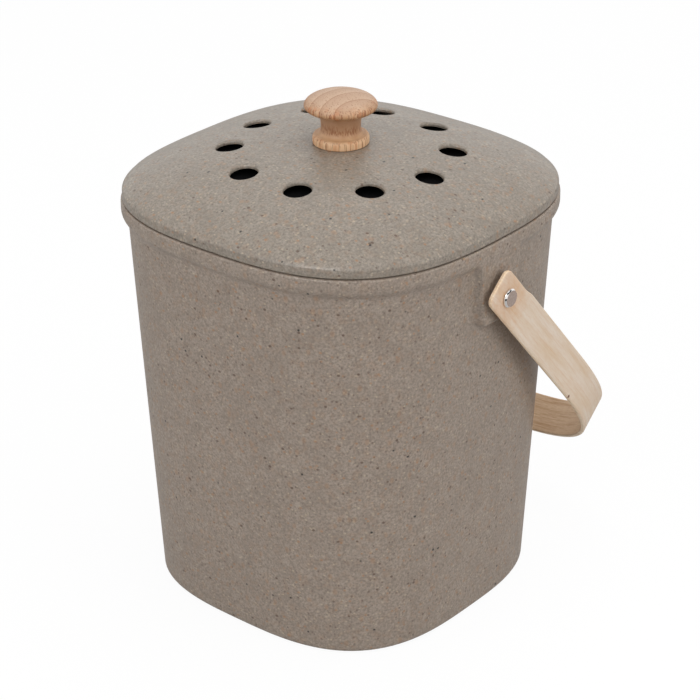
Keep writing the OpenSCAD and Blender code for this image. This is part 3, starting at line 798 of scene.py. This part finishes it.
# Course of the strip's outer face: distance run, place and outward direction
course = [(-STRIP_TIP, Vector((STRIP_OUTER, -STRIP_TIP)), Vector((1, 0)))]
bow_height = STRIP_REACH - STRIP_LEG
for i in range(COURSE_STEPS + 1):
    t = math.radians(90 * i / COURSE_STEPS)
    spot = Vector((STRIP_OUTER * math.cos(t) ** (2 / BOW_POWER),
                   STRIP_LEG + bow_height * math.sin(t) ** (2 / BOW_POWER)))
    outward = Vector((max(0, spot.x / STRIP_OUTER) ** (BOW_POWER - 1) / STRIP_OUTER,
                      max(0, (spot.y - STRIP_LEG) / bow_height) ** (BOW_POWER - 1)
                      / bow_height)).normalized()
    run = course[-1][0] + (spot - course[-1][1]).length
    course.append((run, spot, outward))
strip_half = course[-1][0]


def on_course(run, depth):
    """Place in the bow's own plane at a distance along the strip and below its face."""
    for (a, spot_a, out_a), (b, spot_b, out_b) in zip(course, course[1:]):
        if run <= b:
            break
    share = (run - a) / (b - a)
    return spot_a.lerp(spot_b, share) - out_a.lerp(out_b, share).normalized() * depth


def end_reach(turn):
    """From the pivot to the outline of the strip's end, in one direction."""
    c, s = math.cos(turn), math.sin(turn)
    far = STRIP_TIP if c < 0 else NECK_HALF
    edge = min(far / max(abs(c), 1e-9), NECK_HALF / max(abs(s), 1e-9))
    centre = Vector((-STRIP_TIP + TIP_ROUND, math.copysign(NECK_HALF - TIP_ROUND, s)))
    spot = Vector((c, s)) * edge
    if spot.x < centre.x and abs(spot.y) > abs(centre.y):
        near = centre.dot(Vector((c, s)))
        edge = near + math.sqrt(TIP_ROUND ** 2 - centre.length_squared + near ** 2)
    return edge


bm = bmesh.new()
bmesh.ops.create_circle(bm, segments=END_SEGMENTS, radius=1)
for v in bm.verts:
    turn = math.atan2(v.co.y, v.co.x)
    v.co = Vector((math.cos(turn), math.sin(turn), 0)) * end_reach(turn)
grown_edges = [e for e in bm.edges if all(v.co.x > NECK_HALF - NEAR / 10 for v in e.verts)]
shrink_ring(bm, bm.edges[:], Vector((0, 0, 0)), POST_HOLE, END_RINGS)
runs = [TRIM_START + TRIM_SLOPE * share for share in TRIM_ROWS]
runs += [runs[-1] + (BOW_START - runs[-1]) * i / LEG_ROWS for i in range(1, LEG_ROWS + 1)]
runs += [BOW_START + (strip_half - BOW_START) * i / BOW_ROWS for i in range(1, BOW_ROWS + 1)]
for run in runs:
    grown_edges, verts = extrude_ring(bm, grown_edges)
    for v in verts:
        v.co.x = run
for v in bm.verts:
    past = v.co.x - TRIM_START - TRIM_SLOPE / 2
    v.co.y += (WIDE_EDGE - NECK_HALF) * eased(past, TRIM_SLOPE / 2) * max(0, v.co.y) / NECK_HALF

# The strip's thickness, its softened edges and the lengthwise UV map
bmesh.ops.recalc_face_normals(bm, faces=bm.faces)
grown = bmesh.ops.extrude_face_region(bm, geom=bm.faces[:])["geom"]
bmesh.ops.translate(bm, vec=(0, 0, -STRIP_THICKNESS),
                    verts=[g for g in grown if isinstance(g, bmesh.types.BMVert)])
middle = [f for f in bm.faces if all(v.co.x > strip_half - NEAR / 10 for v in f.verts)]
bmesh.ops.delete(bm, geom=middle, context="FACES")
bmesh.ops.recalc_face_normals(bm, faces=bm.faces)
corners = [e for e in bm.edges if len(e.link_faces) == 2 and e.calc_face_angle() > 1]
bmesh.ops.bevel(bm, geom=corners, offset=STRIP_ROUND, affect="EDGES", segments=4, profile=0.5,
                material=-1)
# The three materials, in the order that they are given below: face, inside and edge, whose tones
# are painted lighter as painted light
uv = bm.loops.layers.uv.new("along_strip")
for f in bm.faces:
    is_inside = f.calc_center_median().z < -STRIP_THICKNESS / 2
    f.material_index = 2 if abs(f.normal.z) < 0.6 else int(is_inside)
    for loop in f.loops:
        loop[uv].uv = (loop.vert.co.x, loop.vert.co.y)
for v in bm.verts:
    spot = on_course(v.co.x, -v.co.z)
    v.co = (spot.x, v.co.y, spot.y)
bmesh.ops.mirror(bm, geom=bm.verts[:] + bm.edges[:] + bm.faces[:], matrix=Matrix(),
                 merge_dist=NEAR / 10, axis="X")
for f in bm.faces:
    if f.calc_center_median().x < 0:
        for loop in f.loops:
            loop[uv].uv = (2 * strip_half - loop[uv].uv.x, loop[uv].uv.y)
swing = Matrix.Rotation(math.pi / 2 + REST_ANGLE, 4, "X").inverted()
put_down = Matrix.Translation((0, 0, PIVOT_Z)) @ swing @ Matrix.Scale(-1, 4, (0, 1, 0))
bmesh.ops.transform(bm, matrix=put_down, verts=bm.verts)
strip = finish_mesh(bm, "bail_strip", sharp=50)
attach(strip, "handle")
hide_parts("handle_strap")


def bamboo_material(name, pale, main, line, contrast):
    """Bamboo whose grain follows the strip's own length."""
    material, tree, shader = new_material(name)
    place = add(tree, "UVMap", uv_map="along_strip").outputs["UV"]
    # A stain spreads from either pivot hole, the same at both ends of the strip
    parts = add(tree, "SeparateXYZ", {"Vector": place})
    from_middle = calc(tree, "ABSOLUTE", calc(tree, "SUBTRACT", parts.outputs["X"], strip_half))
    from_hole = add(tree, "CombineXYZ", {"X": calc(tree, "SUBTRACT", from_middle, strip_half),
                                         "Y": parts.outputs["Y"]})
    wander = calc(tree, "MULTIPLY", grain(tree, place, (1, 1.6, 1), 300, 3, 0.6), STAIN_WANDER)
    stain = calc(tree, "ADD", measure(tree, "LENGTH", from_hole.outputs["Vector"]), wander)
    knot = measure(tree, "DISTANCE", place, KNOT_PLACE)
    faint = 0.7 * contrast
    colour = pale
    for share, tint in (
        (ramp(tree, grain(tree, place, (1, 9, 1), 26), 0.35, 0.68), main),
        (ramp(tree, grain(tree, place, (1, 24, 1), 30, 4, 0.6), 0.5, 0.72, contrast), line),
        (ramp(tree, grain(tree, place, (1, 12, 1), 240, 2, 0.6), 0.45, 0.75, faint), line),
        (ramp(tree, stain, 32 * MM, 16 * MM, 0.45), BAMBOO_STAIN),
        (ramp(tree, knot, 1.1 * MM, 0.5 * MM, 0.9), BAMBOO_KNOT),
    ):
        colour = mix_colour(tree, share, colour, tint)
    ridges = grain(tree, place, (1, 20, 1), 60)
    wire(tree, shader, {"Base Color": colour, "Roughness": 0.5, "Specular IOR Level": 0.4,
                        "Normal": raised(tree, ridges, 0.12, 0.08 * MM)})
    return material


for finish in (
    ("bamboo_face", srgb(222, 207, 191), srgb(213, 190, 164), srgb(204, 164, 124), 0.5),
    ("bamboo_inside", srgb(226, 198, 166), srgb(214, 182, 148), srgb(176, 128, 86), 0.7),
    # The edge's tones are painted lighter than the face's: painted light where the edges face
    # down, away from the lamps
    ("bamboo_edge_painted_light", srgb(244, 226, 200), srgb(234, 210, 180), srgb(206, 168, 128), 0.5),
):
    strip.data.materials.append(bamboo_material(*finish))

# ---------------------------------------------------------------------------
# Pivot posts. A polished steel post on each side, with a round head that keeps
# the strip on; it runs through the wall and takes a screw from inside.
POST_HEAD = 4.5 * MM
HEAD_THICKNESS = 1.6 * MM
HEAD_BEVEL = 0.65 * MM
HEAD_BEVEL_DEPTH = 0.85 * MM
HEAD_CROWN = 0.12 * MM
HEAD_EDGE = 0.2 * MM
POST_RADIUS = 2.6 * MM
POST_EDGE = 0.3 * MM
POST_STEPS = 72
# What takes the sharpness off the two ends of the head's bevel, across and along
BEVEL_CUTS = ((0, -0.06 * MM), (-0.05 * MM, 0.03 * MM), (0.07 * MM, -0.06 * MM))
CROWN_ROWS = (1, 0.97, 0.75, 0.5, 0.25, 0)
# The face's tones are darkened and warmed as a painted reflection of darker, warmer surroundings,
# and the bevel's are a brighter copy of the same steel as a painted highlight
STEEL_FACE = (0.62, 0.49, 0.42, 1)
STEEL_SHADE = (0.70, 0.56, 0.49, 1)
STEEL_BRIGHT = (0.92, 0.90, 0.88, 1)
STEEL_BRIGHT_SHADE = (0.86, 0.84, 0.82, 1)


def steel_material(name, face, shade, smooth, rough=None):
    """Polished steel in two close tones, smooth all over, or from smooth to rough."""
    material, tree, shader = new_material(name)
    place = object_place(tree)
    tones = ramp(tree, noise(tree, place, 900, 2), 0.3, 0.7)
    if rough:
        smooth = between(tree, noise(tree, place, 500, 2), smooth, rough, 0.3, 0.7)
    wire(tree, shader, {"Base Color": mix_colour(tree, tones, face, shade), "Metallic": 1,
                        "Roughness": smooth})
    return material


steel = steel_material("steel_face_painted_reflection", STEEL_FACE, STEEL_SHADE, 0.16, 0.24)
steel_bevel_painted_highlight = steel_material("steel_bevel_painted_highlight", STEEL_BRIGHT, STEEL_BRIGHT_SHADE, 0.05)

for side, sign in (("left", -1), ("right", 1)):
    node = "handle_post_" + side
    low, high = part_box(node)
    outer = max(abs(low[0]), abs(high[0]))
    inner = min(abs(low[0]), abs(high[0]))
    behind, bevel = outer - HEAD_THICKNESS, outer - HEAD_BEVEL_DEPTH
    crown = POST_HEAD - HEAD_BEVEL
    (out_1, up_1), (out_2, up_2), (out_3, up_3) = BEVEL_CUTS
    points = [(0, inner), (POST_RADIUS - POST_EDGE, inner), (POST_RADIUS, inner + POST_EDGE),
              (POST_RADIUS, behind), (POST_HEAD - HEAD_EDGE, behind),
              (POST_HEAD, behind + HEAD_EDGE), (POST_HEAD + out_1, bevel + up_1),
              (POST_HEAD + out_2, bevel + up_2), (crown + out_3, outer - HEAD_CROWN + up_3)]
    points += [(crown * r, outer - HEAD_CROWN * r * r) for r in CROWN_ROWS]
    bm = bmesh.new()
    hub, outwards, upwards = Vector((0, 0, PIVOT_Z)), Vector((sign, 0, 0)), Vector((0, 0, 1))
    turned(bm, points, hub, outwards, upwards, POST_STEPS)
    post = finish_mesh(bm, "post_" + side, sharp=30)
    post.data.materials.append(steel)
    post.data.materials.append(steel_bevel_painted_highlight)
    # The bevel takes the brighter steel, a painted highlight
    for face in post.data.polygons:
        spread = math.hypot(face.center.y, face.center.z - PIVOT_Z)
        face.material_index = int(spread > POST_HEAD - HEAD_BEVEL)
    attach(post, "bin")
    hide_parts(node)

# ---------------------------------------------------------------------------
# Small fixings and the filter under the lid: steel screws and washers, a brass
# insert, nylon spacers, and a pressed charcoal felt held by the fibre cover.
def plain_material(name, colour, second, scale, metallic, roughness, depth, gloss):
    """A finish in two close tones with a fine grain, depth deep."""
    material, tree, shader = new_material(name)
    skin = noise(tree, object_place(tree), scale, 3, 0.6)
    wire(tree, shader, {
        "Base Color": mix_colour(tree, ramp(tree, skin, 0.35, 0.65), colour, second),
        "Metallic": metallic,
        "Roughness": roughness,
        "Specular IOR Level": gloss,
        "Normal": raised(tree, skin, 0.4, depth),
    })
    return material


brass, zinc, nylon, felt = (plain_material(*finish) for finish in (
    ("turned_brass", srgb(206, 170, 96), srgb(190, 152, 82), 700, 1, 0.3, 0.02 * MM, 0.5),
    ("zinced_steel", srgb(190, 190, 194), srgb(170, 170, 174), 900, 1, 0.32, 0.02 * MM, 0.5),
    ("nylon", srgb(224, 220, 208), srgb(214, 210, 198), 400, 0, 0.5, 0.02 * MM, 0.5),
    ("charcoal_felt", srgb(8, 8, 8), srgb(17, 17, 18), 1100, 0, 0.95, 0.5 * MM, 0.05),
))
for node, material in (
    ("spacer_left", nylon), ("spacer_right", nylon), ("post_screw_left", zinc),
    ("post_screw_right", zinc), ("inner_washer_left", zinc), ("inner_washer_right", zinc),
    ("knob_insert", brass), ("knob_screw", zinc), ("knob_washer", zinc),
    ("charcoal_filter", felt), ("filter_cover", moulded_fibre),
):
    carried = bpy.data.objects[node]
    for slot in carried.material_slots:
        slot.material = material
    if not carried.material_slots:
        carried.data.materials.append(material)

# ---------------------------------------------------------------------------
# Floor, world and lamps. The caddy stands on a white sweep under an even, mostly
# overhead light. The camera sees floor and sky white; the steel mirrors them greyer,
# with the dark lines between a room's lights.
FLOOR_SIZE = 12.0
FLOOR_DROP = 0.2 * MM
FLOOR_SHADE = 0.06
FLOOR_BOUNCE = 0.58
FLOOR_MIRRORED = 0.5
DARK_LIGHT = 0.03
DARK_WAY = (0.731, -0.682, 0)
DARK_SPREAD = (0.974, 0.988)
DARK_FROM = (0.50, 0.55)

floor_mesh = bpy.data.meshes.new("floor")
bm = bmesh.new()
bmesh.ops.create_grid(bm, x_segments=1, y_segments=1, size=FLOOR_SIZE / 2)
bmesh.ops.translate(bm, verts=bm.verts, vec=(0, 0, -FLOOR_DROP))
bm.to_mesh(floor_mesh)
bm.free()
floor = bpy.data.objects.new("floor", floor_mesh)
bpy.context.collection.objects.link(floor)
material, tree, shader = new_material("white_floor")
rays = add(tree, "LightPath")
seen, mirrored = rays.outputs["Is Camera Ray"], rays.outputs["Is Glossy Ray"]
wire(tree, shader, {"Base Color": between(tree, seen, FLOOR_BOUNCE, 1), "Roughness": 0.9,
                    "Specular IOR Level": 0})
# Mirrored in the steel, the floor is grey, with a dark strip that leads away in front
place = object_place(tree)
away = measure(tree, "LENGTH", place)
straight = calc(tree, "DIVIDE", measure(tree, "DOT_PRODUCT", place, DARK_WAY), away)
dark = product(tree, ramp(tree, away, *DARK_FROM), ramp(tree, straight, *DARK_SPREAD))
glow = between(tree, mirrored, 1, between(tree, dark, FLOOR_MIRRORED, DARK_LIGHT))
white = add(tree, "Emission", {"Color": (1, 1, 1, 1), "Strength": glow})
share = calc(tree, "MULTIPLY", calc(tree, "MAXIMUM", seen, mirrored), 1 - FLOOR_SHADE)
mix = add(tree, "MixShader", {"Fac": share, 1: shader.outputs[0], 2: white.outputs[0]})
wire(tree, tree.nodes["Material Output"], {"Surface": mix.outputs[0]})
floor.data.materials.append(material)

WORLD_LIGHT = 0.48
OVERHEAD_LIGHT = 0.3
OVERHEAD_WAY = (0.6, 0, 1)
FRONT_WAY = (1, -0.5, 0)
GAP_LOW = (0.60, 0.64)
GAP_HIGH = (0.82, 0.78)
OVERHEAD_RANGE = (0.70, 0.85)
FRONT_RANGE = (0.15, 0.25)
HORIZON_TOP = 0.04
world = bpy.data.worlds.new("studio")
world.use_nodes = True
bpy.context.scene.world = world
tree = world.node_tree
rays = add(tree, "LightPath")
direction = add(tree, "TexCoord").outputs["Generated"]
height = add(tree, "SeparateXYZ", {"Vector": direction}).outputs["Z"]
# Mirrored, it has a dark line between two lights in front, a greyer part overhead
# behind, and a dark patch of horizon
gap = product(tree, ramp(tree, height, *GAP_LOW), ramp(tree, height, *GAP_HIGH))
in_front = between(tree, gap, 1, DARK_LIGHT)
upward = measure(tree, "DOT_PRODUCT", direction, OVERHEAD_WAY)
behind = between(tree, upward, 1, OVERHEAD_LIGHT, *OVERHEAD_RANGE)
forward = measure(tree, "DOT_PRODUCT", direction, FRONT_WAY)
either = between(tree, forward, behind, in_front, *FRONT_RANGE)
ahead = measure(tree, "DOT_PRODUCT", direction, DARK_WAY)
low = product(tree, ramp(tree, height, HORIZON_TOP, 0), ramp(tree, ahead, *DARK_SPREAD))
mirrored_sky = product(tree, either, between(tree, low, 1, DARK_LIGHT))
# As light on the caddy it is an even grey
lit = between(tree, rays.outputs["Is Glossy Ray"], WORLD_LIGHT, mirrored_sky)
wire(tree, tree.nodes["Background"], {
    "Color": (1, 1, 1, 1),
    "Strength": between(tree, rays.outputs["Is Camera Ray"], lit, 1),
})

# Place, size and power of each soft lamp, aimed at the caddy. The last one is
# only mirrored and the others are not, so the highlights stay where they belong
LAMP_AIM = Vector((0, 0, 0.1))
for name, place, size, power in (
    ("top_lamp", (0.1, 0.4, 2.3), 1.6, 17.6),
    ("left_lamp", (-0.4, -1.9, 0.95), 1.5, 13.6),
    ("right_lamp", (1.9, 0.3, 0.9), 1.5, 14.4),
    ("front_lamp", (0.75, -0.95, 1.35), 0.8, 3.6),
    ("mirrored_lamp", (0.2, -1.2, 1.35), 0.5, 8.5),
):
    lamp_data = bpy.data.lights.new(name, "AREA")
    lamp_data.size = size
    lamp_data.energy = power
    lamp = bpy.data.objects.new(name, lamp_data)
    lamp.location = place
    lamp.visible_glossy = name == "mirrored_lamp"
    lamp.visible_diffuse = name != "mirrored_lamp"
    lamp.rotation_euler = (LAMP_AIM - Vector(place)).to_track_quat("-Z", "Y").to_euler()
    bpy.context.collection.objects.link(lamp)

bpy.context.scene.view_settings.view_transform = "Standard"
